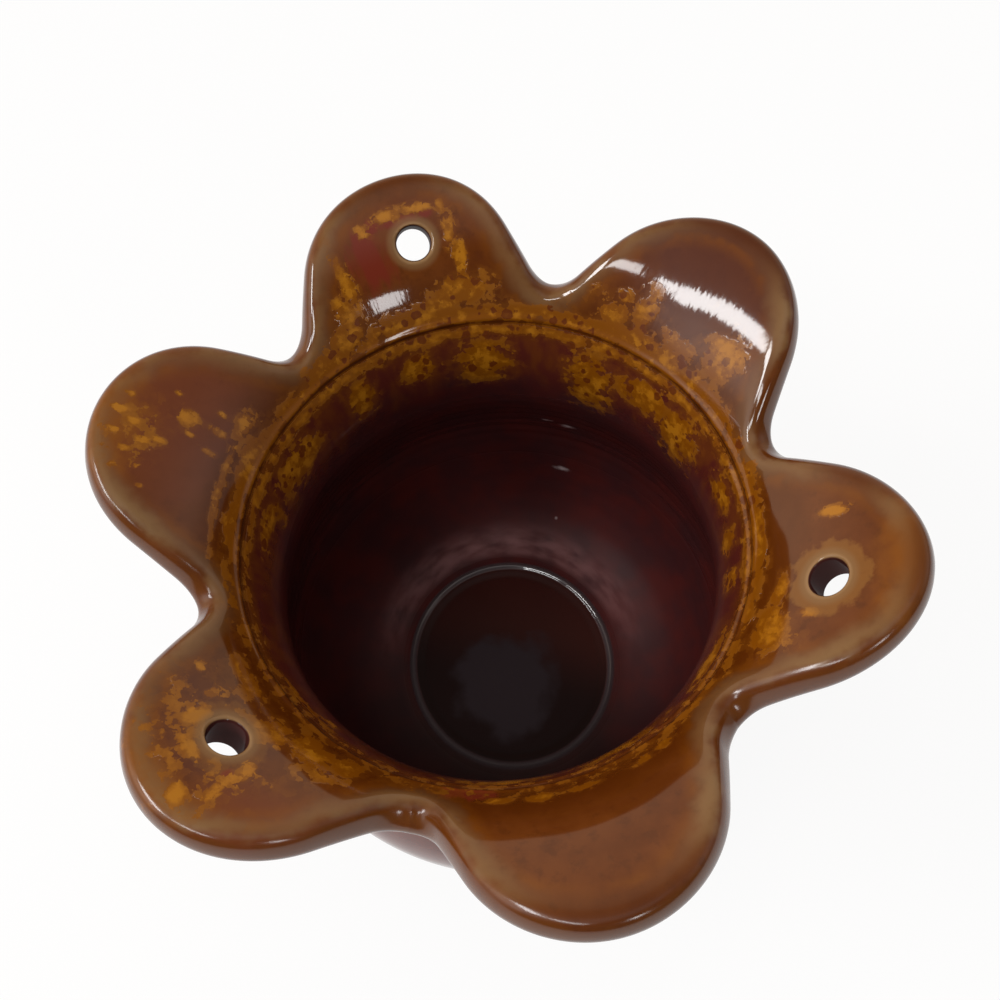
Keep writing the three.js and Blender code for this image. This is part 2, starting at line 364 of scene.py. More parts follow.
def half_outline():
    """Plan of a petal's edge at half its thickness, tip to valley, and the directions out of the clay."""
    edge = PETAL_THICKNESS / 2
    tip_arc = TIP_ROUNDING - edge
    valley_arc = VALLEY_ROUNDING + edge
    tip_centre = Vector((TIP_CENTRE_RADIUS, 0))
    valley_centre = (VALLEY_RADIUS + VALLEY_ROUNDING) * Vector((cos(HALF_PETAL), sin(HALF_PETAL)))
    between = valley_centre - tip_centre
    tangent = Vector((1, 0)).angle_signed(between) * -1 - acos((tip_arc + valley_arc) / between.length)
    tip_turn = tangent * even(TIP_COLUMNS)
    valley_turn = HALF_PETAL + (tangent - HALF_PETAL) * (1 - even(VALLEY_COLUMNS)) ** VALLEY_CROWDING
    tip_out = np.stack([np.cos(tip_turn), np.sin(tip_turn)], 1)
    valley_out = np.stack([np.cos(valley_turn), np.sin(valley_turn)], 1)
    tip = np.array(tip_centre) + tip_arc * tip_out
    valley = np.array(valley_centre) - valley_arc * valley_out
    share = even(SIDE_COLUMNS)[1:-1, None]
    side = tip[-1] + (valley[0] - tip[-1]) * share
    side_out = np.repeat(tip_out[-1:], len(side), 0)
    return np.concatenate([tip, side, valley]), np.concatenate([tip_out, side_out, valley_out])


def petal_sections(turn, habit, habit_before):
    """Closed sections of a petal, from valley to valley: an array of columns by rows by 3."""
    half, half_out = half_outline()
    mirror = np.array([1, -1])
    outline = np.concatenate([half[:0:-1] * mirror, half])
    out = np.concatenate([half_out[:0:-1] * mirror, half_out])
    azimuth = np.arctan2(outline[:, 1], outline[:, 0])
    share = np.cos(azimuth / HALF_PETAL * pi / 2) ** 2
    valley_outset = np.where(azimuth < 0, habit_before.valley_outset, habit.valley_outset)
    valley_turn = np.where(azimuth < 0, habit_before.valley_turn, habit.valley_turn)
    radius = np.hypot(outline[:, 0], outline[:, 1]) + habit.reach * share + valley_outset * (1 - share)
    radius = radius + habit.lean * np.sin(azimuth / HALF_PETAL * pi)
    radius = radius + habit.breadth * 4 * share * (1 - share)
    sway = turn + habit.tip_turn * share + valley_turn * (1 - share)
    azimuth = azimuth + sway
    out_x = out[:, 0] * np.cos(sway) - out[:, 1] * np.sin(sway)
    out_y = out[:, 0] * np.sin(sway) + out[:, 1] * np.cos(sway)
    out = np.stack([out_x, out_y], 1)
    edge_angle = np.arccos((FLARE_CENTRE - radius) / (FLARE_REACH - PETAL_THICKNESS / 2))

    bead_distance = BEAD_SPAN * even(BEAD_ROWS)
    bead_angle = np.repeat(GROOVE_ANGLE + bead_distance[None] / GROOVE_PITCH, len(azimuth), 0)
    bead_end = bead_angle[:, -1:]
    face_angle = bead_end + (edge_angle[:, None] - bead_end) * even(FACE_ROWS)[None, 1:]
    upper_angle = np.concatenate([bead_angle, face_angle], 1)
    depth = relief((upper_angle - GROOVE_ANGLE) * GROOVE_PITCH, azimuth[:, None])
    face = polar_points(azimuth[:, None], *flare(upper_angle, depth))
    lower_angle = edge_angle[:, None] + (GROOVE_ANGLE - edge_angle[:, None]) * even(UNDERSIDE_ROWS)[None]
    underside = polar_points(azimuth[:, None], *flare(lower_angle, PETAL_THICKNESS))

    middle = (face[:, -1] + underside[:, 0]) / 2
    upward = face[:, -1] - middle
    size = np.linalg.norm(upward, axis=1, keepdims=True)
    outward = np.concatenate([out, np.zeros((len(out), 1))], 1)
    outward = outward - upward * (outward * upward).sum(1, keepdims=True) / size**2
    outward = outward / np.linalg.norm(outward, axis=1, keepdims=True) * size
    roll = even(EDGE_ROWS)[None, 1:-1, None] * pi
    full = 2 / EDGE_FULLNESS
    rise = np.sign(np.cos(roll)) * abs(np.cos(roll)) ** full
    edge = middle[:, None] + upward[:, None] * rise + outward[:, None] * np.sin(roll) ** full

    sections = np.concatenate([face, edge, underside, face[:, :1]], 1)
    run = (np.hypot(sections[..., 0], sections[..., 1]) - THROAT_RADIUS) / PETAL_REACH
    sections[..., 2] += habit.lift * share[:, None] * np.clip(run, 0, None) ** 2
    return sections


def hole_axis(turn, lift, outset, sway):
    """A point on a hanging hole's axis, in the middle of the clay, and the axis, square to the face."""
    angle = acos((FLARE_CENTRE - THROAT_RADIUS - HOLE_OUTSET - outset) / FLARE_REACH)
    axis = Vector((-FLARE_RISE * cos(angle), 0, FLARE_REACH * sin(angle))).normalized()
    radius, height = flare(angle, PETAL_THICKNESS / 2)
    height += lift * ((radius - THROAT_RADIUS) / PETAL_REACH) ** 2
    swing = Matrix.Rotation(turn + sway, 3, "Z")
    return swing @ Vector((radius, 0, height)), swing @ axis


def hole_cutter(middle, axis):
    """The bore of a hanging hole with its two rounded rims."""
    angle = even(LIP_STEPS) * pi / 2
    rim_radius = HOLE_RADIUS + HOLE_LIP * (1 - np.cos(angle))
    rim = points(rim_radius, PETAL_THICKNESS / 2 - HOLE_LIP * (1 - np.sin(angle)))
    upper = rim + [(HOLE_RADIUS + HOLE_LIP * CUTTER_MARGIN, PETAL_THICKNESS), (0, PETAL_THICKNESS)]
    lower = [(radius, -height) for radius, height in upper[::-1]]
    cutter = turned("hole_cutter", lower + upper, HOLE_STEPS)
    cutter.data.transform(Matrix.Translation(middle) @ axis.to_track_quat("Z", "Y").to_matrix().to_4x4())
    return cutter


def pierce(piece, cutter):
    hole = piece.modifiers.new("hanging_hole", "BOOLEAN")
    hole.operation = "DIFFERENCE"
    hole.solver = "EXACT"
    hole.object = cutter
    bpy.ops.object.select_all(action="DESELECT")
    bpy.context.view_layer.objects.active = piece
    piece.select_set(True)
    bpy.ops.object.modifier_apply(modifier=hole.name)
    bpy.data.objects.remove(cutter)
    bpy.ops.object.shade_smooth_by_angle(angle=SMOOTH_ANGLE)


def petal(i):
    """The petal of the i-th habit, counted round from +X, with its glaze laid on."""
    node = list(PETAL_HABITS)[i]
    habits = list(PETAL_HABITS.values())
    turn = (2 * i + 1) * HALF_PETAL
    sections = petal_sections(turn, habits[i], habits[i - 1])
    columns, rows = sections.shape[:2]
    bpy.ops.object.select_all(action="DESELECT")
    bpy.ops.mesh.primitive_grid_add(x_subdivisions=rows - 1, y_subdivisions=columns - 1)
    bpy.context.object.data.vertices.foreach_set("co", sections.ravel())
    piece = start_mesh("glazed_" + node)
    bpy.ops.mesh.remove_doubles(threshold=WELD)
    bpy.ops.mesh.fill_holes(sides=0)
    close_mesh()
    outline = sections[:, BEAD_ROWS + FACE_ROWS + EDGE_ROWS // 2, :2]
    if node in HOLE_HABITS:
        middle, axis = hole_axis(turn, habits[i].lift, *HOLE_HABITS[node])
        pierce(piece, hole_cutter(middle, axis))
        lay_petal_glaze(piece, outline)
        away = vertex_places(piece) - np.array(middle)
        reach_from_axis = np.linalg.norm(np.cross(away, np.array(axis)), axis=1)
        lay(piece, "lip", reach_from_axis - HOLE_RADIUS)
        lay(piece, "halo", np.full(len(piece.data.vertices), HOLE_HALOS[node]))
    else:
        lay_petal_glaze(piece, outline)
        lay(piece, "lip", np.full(len(piece.data.vertices), PETAL_REACH))
        lay(piece, "halo", np.zeros(len(piece.data.vertices)))
    return piece


# Where the ochre lies thick on the petals: azimuth in degrees, then radius, half width across
# and half length outwards in mm
PETAL_OCHRE = [
    # rear right
    (19.8, 74.5, 5.5, 4.5), (30, 71, 7, 1.6), (39.4, 73.5, 2.8, 5), (45.5, 70.4, 5.5, 2),
    (45, 74, 2.4, 1.6), (29, 67.5, 26, 2.2),
    # rear
    (83.2, 90, 1.4, 2), (82.2, 84.5, 1.9, 4), (80.6, 77.5, 2.2, 4), (81.5, 71.5, 7.5, 3),
    (88, 69, 6, 1.6), (87.5, 90.4, 4.5, 1.3), (92.7, 90, 4.2, 1.6), (97.6, 88.2, 2.2, 1.8),
    (104.5, 79.8, 2.2, 7), (107.5, 73.5, 2.6, 3.5), (110, 69.5, 6, 2.4), (95, 68, 12, 2.2),
    (117, 67.5, 8, 2.2),
    # rear left
    (145.8, 81.6, 2.6, 2.4), (142.6, 85.5, 0.7, 1.2), (145.3, 75.1, 1.3, 1.9),
    (149.9, 75.1, 1, 1.8), (141.8, 76, 1, 1), (148.5, 79.6, 0.6, 1.2), (140.9, 71.5, 4.6, 1.8),
    (156, 71, 15, 0.8), (147, 67.8, 10, 2), (163, 67.6, 7, 1.5), (155.3, 91.3, 0.9, 1.8),
    (153, 88.2, 0.8, 1.6), (157.7, 87.7, 0.7, 0.9), (152, 85, 0.8, 1.6), (160.9, 86.1, 0.7, 0.9),
    (149.5, 95.5, 1.4, 2), (152.8, 95.4, 1, 2.2), (156, 95, 0.9, 1.8), (146.5, 94.4, 0.9, 1.6),
    (158.5, 92.5, 0.8, 1.4), (150.5, 91.4, 0.8, 1.6),
    # left
    (203, 82.8, 2.4, 3.4), (207.5, 88.2, 4, 1.5), (211.5, 95.8, 2.6, 2.4), (214.6, 90, 1.6, 3.6),
    (215.2, 83.5, 2.4, 4), (200.2, 78.3, 1.6, 1.6), (194.9, 77.8, 1.4, 1), (199.5, 70.6, 7, 1.7),
    (212, 73.5, 5, 3.4), (219, 71, 6, 4), (226.5, 69.5, 4, 2.6),
    # front
    (255.6, 68.9, 3.4, 0.9), (263.3, 69.2, 3.4, 1.3), (271.8, 69.4, 4.4, 0.9),
    (284.4, 69.3, 2.8, 1.1), (288.9, 68.8, 3, 0.9),
    # right
    (341, 82, 1.2, 3.6), (322.5, 78.7, 1.4, 2), (319, 72, 6.5, 3.2), (327, 72, 4.5, 1.6),
    (341, 66.8, 14, 1.4),
]

# Maroon patches on the petals, in the same terms
PETAL_MAROON = [
    (98, 81.5, 4.2, 7), (95.9, 88.6, 1.9, 1.8), (86, 88.8, 2, 1.4), (90.5, 88, 5, 1.2),
    (214, 86.5, 1.3, 1.6), (250, 67, 6, 1.5),
]

# Where the ochre only shows in scattered scraps, in the same terms
PETAL_SCRAPS = [
    (44, 71.5, 12, 3), (20, 72, 10, 3), (152, 92, 9, 7), (208, 88, 17, 12), (203, 76, 10, 6),
    (222, 74, 9, 6), (318, 75, 5, 4),
]
SCRAPS_COVER = 0.48

# Other zones of the petals, in the same terms: tips where the edge stays dark, shoulders where it is
# palest, partly the glaze running thin and partly painted sheen and highlight, ground that is warm,
# mauve or rosy, and glaze that ran in fine lines
PETAL_ZONES = {
    "dark_tip": [
        (30, 100, 24, 6), (90, 100, 14, 6), (198, 101, 8, 4), (270, 99, 24, 7), (331, 101, 14, 5),
        (348.5, 89, 8, 8),
    ],
    "pale": [
        (220, 95, 15, 8), (290, 90, 10, 12), (322, 88, 13, 9), (18, 92, 10, 8), (163, 86, 10, 8),
    ],
    "warm": [(152, 96, 16, 6), (331, 97, 16, 6), (206, 98, 16, 5)],
    "mauve": [(30, 91, 24, 17), (206, 84, 16, 10)],
    "rosy": [(148, 84, 20, 13), (222, 92, 12, 8)],
    "fine_runs": [(32, 85, 26, 14), (99, 74, 10, 8)],
}

# Ochre curtains on the inside below the groove: azimuth in degrees, then height, half width across
# and half height in mm
WALL_OCHRE = [
    (18, 104, 7, 8.5), (32, 107.5, 8.5, 5), (48, 101.5, 6.5, 10.5), (77.5, 104.5, 7.8, 7.6),
    (95.5, 107.5, 4.8, 4.4), (113, 106.5, 4.4, 5.8), (138, 106.5, 9, 5), (152, 105, 2, 4.5),
    (158, 108.5, 6, 2.5), (206, 113, 7, 1.1), (214, 110, 2.5, 1.8), (255, 111, 12, 2.5),
    (285, 110, 10, 3), (312, 111, 8, 2.5), (334, 108, 2.4, 5), (345, 107, 2.6, 4.5),
    (357, 109, 5, 4),
]

# A painted grey reflection in the middle of the floor's dish
FLOOR_REFLECTION_PLACE = (-4 * MM, -8 * MM)
FLOOR_REFLECTION_REACH = 20.5 * MM

# Small painted glints inside the bowl, in place of the window's reflections on the throwing rings: place
# in mm, how far it counts along each axis, and reach in mm
PAINTED_GLINTS = [
    ((37.0, 55.3, 61.2), (0.5, 0.5, 1.0), 1.6),
    ((31.0, 58.2, 63.5), (0.5, 0.5, 1.4), 1.3),
    ((35.0, 54.7, 34.4), (0.5, 0.5, 1.6), 2.0),
    ((29.7, 44.7, 17.4), (1.0, 1.0, 1.0), 0.8),
    ((20.5, 14.8, 10.6), (0.7, 1.0, 1.0), 1.4),
    ((25.2, 16.9, 10.6), (0.7, 1.0, 1.0), 1.2),
]

# The ochre that gathers along the groove, most of it at the rear
GROOVE_COVER_REAR = 0.80
GROOVE_COVER_FRONT = 0.45
GROOVE_COVER_WIDTH = 2.2 * MM
GROOVE_COVER_TURN = radians(70)

# How fast a dab thins past its rim, and the face's glaze where the clay turns down
DAB_STEEPNESS = 2.5
TURN_STEEPNESS = 4

# Radii at which one glaze, or its painted sheen, gives way to another
FLOOR_DISC = (34 * MM, 35 * MM)
WALL_FOOT = (38.5 * MM, 42 * MM)
SHEEN_BAND_END = (44 * MM, 53 * MM)
AMBER_THROAT = (68 * MM, 80 * MM)
DEEP_OCHRE = (69 * MM, 77 * MM)
SPOTTED_OCHRE = (73 * MM, 79 * MM)
VALLEY_EDGE = (73.8 * MM, 76.4 * MM)

# Heights at which one glaze, its painted sheen or its painted shade gives way to another
FLOOR_TOP = (14 * MM, 16 * MM)
DARK_FOOT = (18 * MM, 45 * MM)
SHEEN_BAND_TOP = (20 * MM, 32 * MM)
CARAMEL_TONGUES = (82 * MM, 118 * MM)
RUST_RUNS = (91 * MM, 106 * MM)
DULL_BROW = (111 * MM, 115 * MM)
AMBER_BROW = (111 * MM, 116 * MM)

# Distances from a petal's edge at which its marks begin and end
EDGE_RIM = (0.3 * MM, 2.6 * MM)
EDGE_SHOULDER = (1.5 * MM, 4.5 * MM, 4.5 * MM, 9 * MM)
EDGE_LINE = (6.5 * MM, 8.5 * MM, 8.5 * MM, 11 * MM)
DARK_TIP_EDGE = (4 * MM, 9 * MM)
WORN_EDGE = (2 * MM, 7 * MM)
UNDERSIDE_EDGE = (2 * MM, 8 * MM)

# Distances from a hole's bore at which its marks end
BORE_END = (0.1 * MM, 0.4 * MM)
BRIGHT_RIM_END = (0.6 * MM, 1.6 * MM)
TAN_RIM_END = (1.5 * MM, 3.5 * MM)
HALO_END = (4 * MM, 5.6 * MM)

# Half widths of the floor's ridge, painted pale grey for its sheen: in full colour, and at its end
RIDGE_SIDE = (0.6 * MM, 1.7 * MM)

# Directions across the pot along which the glaze, its painted sheen and its painted shade change
REARWARD = (0.5, 0.85, 0)
SHEEN_BAND_SIDE = (0.25, 0.97, 0)
FRONTWARD = (-0.3, -0.95, 0)

# Depth of the unevenness in the glaze and in the bare clay, how far flakes stand out of the glaze,
# how long its streaks are drawn, and how much deeper the ochre's colour is at the throat and inside
GLAZE_DEPTH = 0.12 * MM
GRIT_DEPTH = 0.2 * MM
FLAKE_RISE = 0.15
STREAK = 2.2
THROAT_DEEP = 0.42
INSIDE_DEEP = 0.2


def lay(piece, name, values):
    """Keeps one number for each point of a piece, for its glaze to read."""
    attribute = piece.data.attributes.new(name, "FLOAT", "POINT")
    attribute.data.foreach_set("value", np.asarray(values, dtype=np.float32))


def cover(azimuth, radius, run, dabs):
    """How thick the dabs lie at each point: 1 in the middle of a dab, 0.5 at its rim."""
    thickest = np.zeros(len(azimuth))
    for dab_azimuth, dab_run, across, along in dabs:
        aside = (azimuth - radians(dab_azimuth) + pi) % (2 * pi) - pi
        reach = np.hypot(aside * radius / (across * MM), (run - dab_run * MM) / (along * MM))
        thickest = np.maximum(thickest, 0.5**reach**DAB_STEEPNESS)
    return thickest


def outline_distance(plan, outline):
    """Distance in plan from each point to an open line."""
    nearest = np.full(len(plan), np.inf)
    for start, end in zip(outline[:-1], outline[1:]):
        along = end - start
        share = np.clip((plan - start) @ along / (along @ along), 0, 1)
        nearest = np.minimum(nearest, np.linalg.norm(plan - start - share[:, None] * along, axis=1))
    return nearest


def outward_normals(piece):
    normal = np.empty(3 * len(piece.data.vertices))
    piece.data.vertex_normals.foreach_get("vector", normal)
    return normal.reshape(-1, 3)


def groove_cover(azimuth, distance):
    rear = (1 + np.cos(azimuth - GROOVE_COVER_TURN)) / 2
    strength = GROOVE_COVER_FRONT + (GROOVE_COVER_REAR - GROOVE_COVER_FRONT) * rear
    return strength * bump(distance, 0, GROOVE_COVER_WIDTH)


def lay_petal_glaze(piece, outline):
    spot, azimuth, radius = polar_places(piece)
    face = np.clip(outward_normals(piece)[:, 2] * TURN_STEEPNESS, 0, 1)
    along_groove = groove_cover(azimuth, radius - THROAT_RADIUS - UPPER_BEAD_PLACE)
    scraps = SCRAPS_COVER * cover(azimuth, radius, radius, PETAL_SCRAPS)
    dabs = cover(azimuth, radius, radius, PETAL_OCHRE)
    lay(piece, "ochre", np.maximum(np.maximum(dabs, scraps), along_groove) * face)
    lay(piece, "maroon", cover(azimuth, radius, radius, PETAL_MAROON) * face)
    for name, zone in PETAL_ZONES.items():
        lay(piece, name, cover(azimuth, radius, radius, zone))
    lay(piece, "inset", outline_distance(spot[:, :2], outline))
    lay(piece, "outside", 1 - face)


def lay_wall_glaze(piece):
    spot, azimuth, radius = polar_places(piece)
    inside = radius < middle_radius(spot[:, 2])
    along_groove = groove_cover(azimuth, spot[:, 2] - GROOVE_LEVEL - LOWER_BEAD_PLACE)
    curtains = cover(azimuth, radius, spot[:, 2], WALL_OCHRE)
    lay(piece, "ochre", np.maximum(curtains, along_groove) * inside)
    lay(piece, "outside", 1 - inside)


class Value:
    """A socket in a node tree. Arithmetic on it adds Math nodes."""

    def __init__(self, nodes, socket):
        self.nodes = nodes
        self.socket = socket

    def maths(self, operation, first, second):
        return self.nodes.add("Math", {"operation": operation}, {0: first, 1: second})

    def __add__(self, other):
        return self.maths("ADD", self, other)

    def __radd__(self, other):
        return self.maths("ADD", other, self)

    def __sub__(self, other):
        return self.maths("SUBTRACT", self, other)

    def __rsub__(self, other):
        return self.maths("SUBTRACT", other, self)

    def __mul__(self, other):
        return self.maths("MULTIPLY", self, other)

    def __rmul__(self, other):
        return self.maths("MULTIPLY", other, self)


class Nodes:
    """The node tree of a material or of the world."""

    def __init__(self, owner):
        owner.use_nodes = True
        self.tree = owner.node_tree

    def add(self, kind, settings, sockets, output=0):
        """Adds a node, makes its settings, fills or links its sockets, and gives one of its outputs."""
        node = self.tree.nodes.new("ShaderNode" + kind)
        for name, setting in settings.items():
            setattr(node, name, setting)
        self.fill(node, sockets)
        return Value(self, node.outputs[output])

    def fill(self, node, sockets):
        for name, value in sockets.items():
            if isinstance(value, Value):
                self.tree.links.new(value.socket, node.inputs[name])
            else:
                node.inputs[name].default_value = value

    def laid(self, name):
        return self.add("Attribute", {"attribute_name": name}, {}, "Fac")

    def mix(self, share, first, second):
        return self.add("Mix", {"data_type": "RGBA"}, {0: share, 6: first, 7: second}, 2)

    def smooth(self, value, low, high):
        settings = {"interpolation_type": "SMOOTHSTEP"}
        return self.add("MapRange", settings, {"Value": value, "From Min": low, "From Max": high})

    def noise(self, place, grain, detail, roughness=0.5):
        """Noise about 0, mostly between -0.25 and 0.25, with clouds about as wide as the grain."""
        sockets = {"Vector": place, "Scale": 1 / grain, "Detail": detail, "Roughness": roughness}
        return self.add("TexNoise", {}, sockets) - 0.5

    def swirl(self, place, grain, reach):
        """A small shift of each point, mostly below a quarter of the reach each way."""
        noise = self.add("TexNoise", {}, {"Vector": place, "Scale": 1 / grain, "Detail": 2}, 1)
        return self.vector("MULTIPLY", self.vector("SUBTRACT", noise, (0.5,) * 3), (reach,) * 3)

    def vector(self, operation, first, second, output=0):
        return self.add("VectorMath", {"operation": operation}, {0: first, 1: second}, output)


def rgb(red, green, blue):
    return (red, green, blue, 1)


CARAMEL = rgb(0.105, 0.025, 0.0035)
CARAMEL_LIGHT = rgb(0.135, 0.036, 0.006)
CARAMEL_DARK = rgb(0.072, 0.017, 0.003)
MAUVE_BROWN = rgb(0.078, 0.021, 0.011)
ROSY_BROWN = rgb(0.140, 0.034, 0.011)
AMBER = rgb(0.090, 0.021, 0.0018)
ORANGE = rgb(0.210, 0.066, 0.005)
OCHRE = rgb(0.380, 0.145, 0.007)
OCHRE_DEEP = rgb(0.200, 0.060, 0.0020)
OCHRE_DIM = rgb(0.230, 0.080, 0.0080)
RED_BROWN = rgb(0.150, 0.021, 0.009)
LIVER = rgb(0.098, 0.018, 0.004)
RUST = rgb(0.110, 0.026, 0.007)
MAROON = rgb(0.080, 0.0140, 0.0095)
PLUM = rgb(0.046, 0.0118, 0.0125)
PLUM_RED = rgb(0.072, 0.0115, 0.0100)
FLOOR_PLUM = rgb(0.036, 0.0070, 0.0050)
PAINTED_FRONT_SHADE = rgb(0.014, 0.0040, 0.0042)
PAINTED_FOOT_SHEEN = rgb(0.200, 0.080, 0.078)
GLINT_PAINT = rgb(0.420, 0.330, 0.330)
FLOOR_REFLECTION_PAINT = rgb(0.030, 0.0185, 0.0230)
BORE = rgb(0.050, 0.014, 0.012)
PAINTED_RIDGE_SHEEN = rgb(0.062, 0.045, 0.047)
EDGE_TAN = rgb(0.210, 0.116, 0.047)
LIP_TAN_AND_HIGHLIGHT = rgb(0.280, 0.160, 0.070)
HALO_TAN = rgb(0.250, 0.105, 0.018)
EDGE_BROWN = rgb(0.115, 0.034, 0.004)
BELLY = rgb(0.140, 0.033, 0.021)
BELLY_DARK = rgb(0.075, 0.014, 0.012)
BUFF = rgb(0.420, 0.290, 0.180)
BUFF_DARK = rgb(0.260, 0.160, 0.090)


def new_glaze(name):
    material = bpy.data.materials.new(name)
    return material, Nodes(material)


def raised(nodes, height, depth):
    return nodes.add("Bump", {}, {"Height": height, "Distance": depth, "Strength": 1})


def finish_glaze(material, nodes, colour, roughness, height, depth=GLAZE_DEPTH):
    shader = material.node_tree.nodes["Principled BSDF"]
    normal = raised(nodes, height, depth)
    nodes.fill(shader, {"Base Color": colour, "Roughness": roughness, "Normal": normal})
    return material


def lay_over(material, nodes, share, shader):
    """Lays another shader over what the material shows so far."""
    output = material.node_tree.nodes["Material Output"]
    below = Value(nodes, output.inputs["Surface"].links[0].from_socket)
    nodes.fill(output, {"Surface": nodes.add("MixShader", {}, {0: share, 1: below, 2: shader})})


def places(nodes):
    """A point's place, its radius, its height, and its direction from the axis as a point on a ring."""
    spot = nodes.add("TexCoord", {}, {}, "Object")
    plan = nodes.vector("MULTIPLY", spot, (1, 1, 0))
    radius = nodes.vector("LENGTH", plan, (0, 0, 0), 1)
    height = nodes.add("SeparateXYZ", {}, {0: spot}, 2)
    ring = nodes.vector("MULTIPLY", nodes.vector("NORMALIZE", plan, (0, 0, 0)), (THROAT_RADIUS,) * 3)
    return spot, radius, height, ring


def streaked(nodes, ring, run, stretch):
    """A place for noise whose clouds are drawn out along the run."""
    return nodes.vector("ADD", ring, nodes.add("CombineXYZ", {}, {2: run * (1 / stretch)}))


def ochre_thickness(nodes, spot):
    """How thick the ochre lies: the listed dabs, broken into flakes with ragged rims."""
    dabs = nodes.laid("ochre")
    ragged = nodes.vector("ADD", spot, nodes.swirl(spot, 1.2 * MM, 2.4 * MM))
    flake = nodes.add("TexVoronoi", {}, {"Vector": ragged, "Scale": 1 / (2.4 * MM)}, 1)
    chance = nodes.add("SeparateColor", {}, {0: flake}) - 0.5
    frayed = nodes.noise(spot, 6 * MM, 5, 0.6) * 1.4
    return (dabs + chance * 0.5 + frayed) * nodes.smooth(dabs, 0.02, 0.12)


def liver_spots(nodes, spot):
    """Round dark spots, each of its own size."""
    cells = {"Vector": spot, "Scale": 1 / (3.1 * MM)}
    distance = nodes.add("TexVoronoi", {}, cells)
    chance = nodes.add("SeparateColor", {}, {0: nodes.add("TexVoronoi", {}, cells, 1)})
    uneven = nodes.noise(spot, 1.5 * MM, 2) * 0.5
    return 1 - nodes.smooth(distance + uneven - (chance - 0.38) * 0.85, -0.05, 0.05)


def ochre_over(nodes, ground, thickness, spot, deep):
    """The ground, a film of orange at the rims of the ochre, and ochre that is brightest where thick."""
    filmed = nodes.mix(nodes.smooth(thickness, 0.1, 0.5) * 0.3, ground, ORANGE)
    cloud = nodes.noise(spot, 2.6 * MM, 4) * 1.6
    ochre = nodes.mix(nodes.smooth(thickness - deep + cloud, 0.4, 1.1), OCHRE_DEEP, OCHRE)
    ochre = nodes.mix(nodes.smooth(nodes.laid("ochre"), 0.65, 0.4) * 0.6, ochre, OCHRE_DIM)
    flakes = nodes.smooth(thickness, 0.46, 0.53)
    return nodes.mix(flakes * 0.95, filmed, ochre), flakes


def ripples(nodes, spot):
    """The soft unevenness of a thick glaze."""
    return nodes.noise(spot, 11 * MM, 0)


def band(nodes, value, start, full, fading, end):
    """1 between full and fading, 0 before the start and past the end."""
    return nodes.smooth(value, start, full) * (1 - nodes.smooth(value, fading, end))


def petal_ground(nodes, spot, radius, ring):
    """Clouded, mottled caramel with mauve, rosy and warm patches, an amber throat and red-brown runs."""
    wide = nodes.noise(spot, 22 * MM, 3)
    cloud = nodes.smooth(wide + nodes.noise(spot, 5 * MM, 4) * 0.6, -0.2, 0.2)
    colour = nodes.mix(cloud, CARAMEL, CARAMEL_LIGHT)
    mottle = nodes.smooth(nodes.noise(spot, 3.5 * MM, 4, 0.6), 0.0, 0.2)
    colour = nodes.mix(mottle * 0.5, colour, CARAMEL_DARK)
    for name, strength, tint in [("mauve", 0.8, MAUVE_BROWN), ("rosy", 0.7, ROSY_BROWN)]:
        patches = nodes.smooth(nodes.laid(name) + nodes.noise(spot, 8 * MM, 4), 0.1, 0.8)
        colour = nodes.mix(patches * strength, colour, tint)
    warm = nodes.smooth(nodes.laid("warm") + nodes.noise(spot, 6 * MM, 4) * 1.6, 0.2, 0.9)
    colour = nodes.mix(warm * 0.6, colour, ORANGE)
    throat = 1 - nodes.smooth(radius + nodes.noise(spot, 7 * MM, 3) * (12 * MM), *AMBER_THROAT)
    colour = nodes.mix(throat, colour, AMBER)
    runs = streaked(nodes, ring, radius, 4)
    maroon = nodes.smooth(nodes.laid("maroon") + nodes.noise(runs, 2.5 * MM, 4) * 1.8, 0.15, 0.75)
    return nodes.mix(maroon * nodes.smooth(nodes.laid("maroon"), 0.02, 0.1), colour, RED_BROWN)


def petal_edge(nodes, colour, spot):
    """A tan shoulder where the glaze runs thin over the edge, palest in the pale zones with painted sheen,
    an orange line inside it and a brown rim.
    """
    uneven = nodes.noise(spot, 7 * MM, 3)
    inset = nodes.laid("inset") + uneven * (6 * MM)
    line = band(nodes, inset, *EDGE_LINE)
    colour = nodes.mix(line * nodes.smooth(uneven, -0.2, 0.2) * 0.4, colour, ORANGE)
    dark_tip = nodes.laid("dark_tip")
    shoulder = band(nodes, inset, *EDGE_SHOULDER) * (1 - dark_tip)
    patchy = nodes.smooth(nodes.noise(spot, 14 * MM, 4), -0.2, 0.12)
    # The pale zones lighten the tan shoulder as painted sheen and highlight
    colour = nodes.mix(shoulder * (0.25 + patchy * 0.4 + nodes.laid("pale") * 0.3), colour, EDGE_TAN)
    dark_edge = dark_tip * (1 - nodes.smooth(inset, *DARK_TIP_EDGE))
    colour = nodes.mix(dark_edge * 0.6, colour, CARAMEL_DARK)
    return nodes.mix((1 - nodes.smooth(inset, *EDGE_RIM)) * 0.7, colour, EDGE_BROWN)


def hole_rim(nodes, colour, spot):
    """A halo and a tan rim round each hole, a paler lip that is partly thin glaze and partly painted
    highlight, and its dark bore. Gives the bore's share as well.
    """
    lip = nodes.laid("lip")
    halo = 1 - nodes.smooth(lip + nodes.noise(spot, 4 * MM, 4) * (8 * MM), *HALO_END)
    colour = nodes.mix(halo * nodes.laid("halo") * 0.55, colour, HALO_TAN)
    colour = nodes.mix((1 - nodes.smooth(lip, *TAN_RIM_END)) * 0.6, colour, EDGE_TAN)
    # The paler lip: partly the glaze running thin, partly a painted highlight
    colour = nodes.mix((1 - nodes.smooth(lip, *BRIGHT_RIM_END)) * 0.8, colour, LIP_TAN_AND_HIGHLIGHT)
    bore = 1 - nodes.smooth(lip, *BORE_END)
    return nodes.mix(bore, colour, BORE), bore


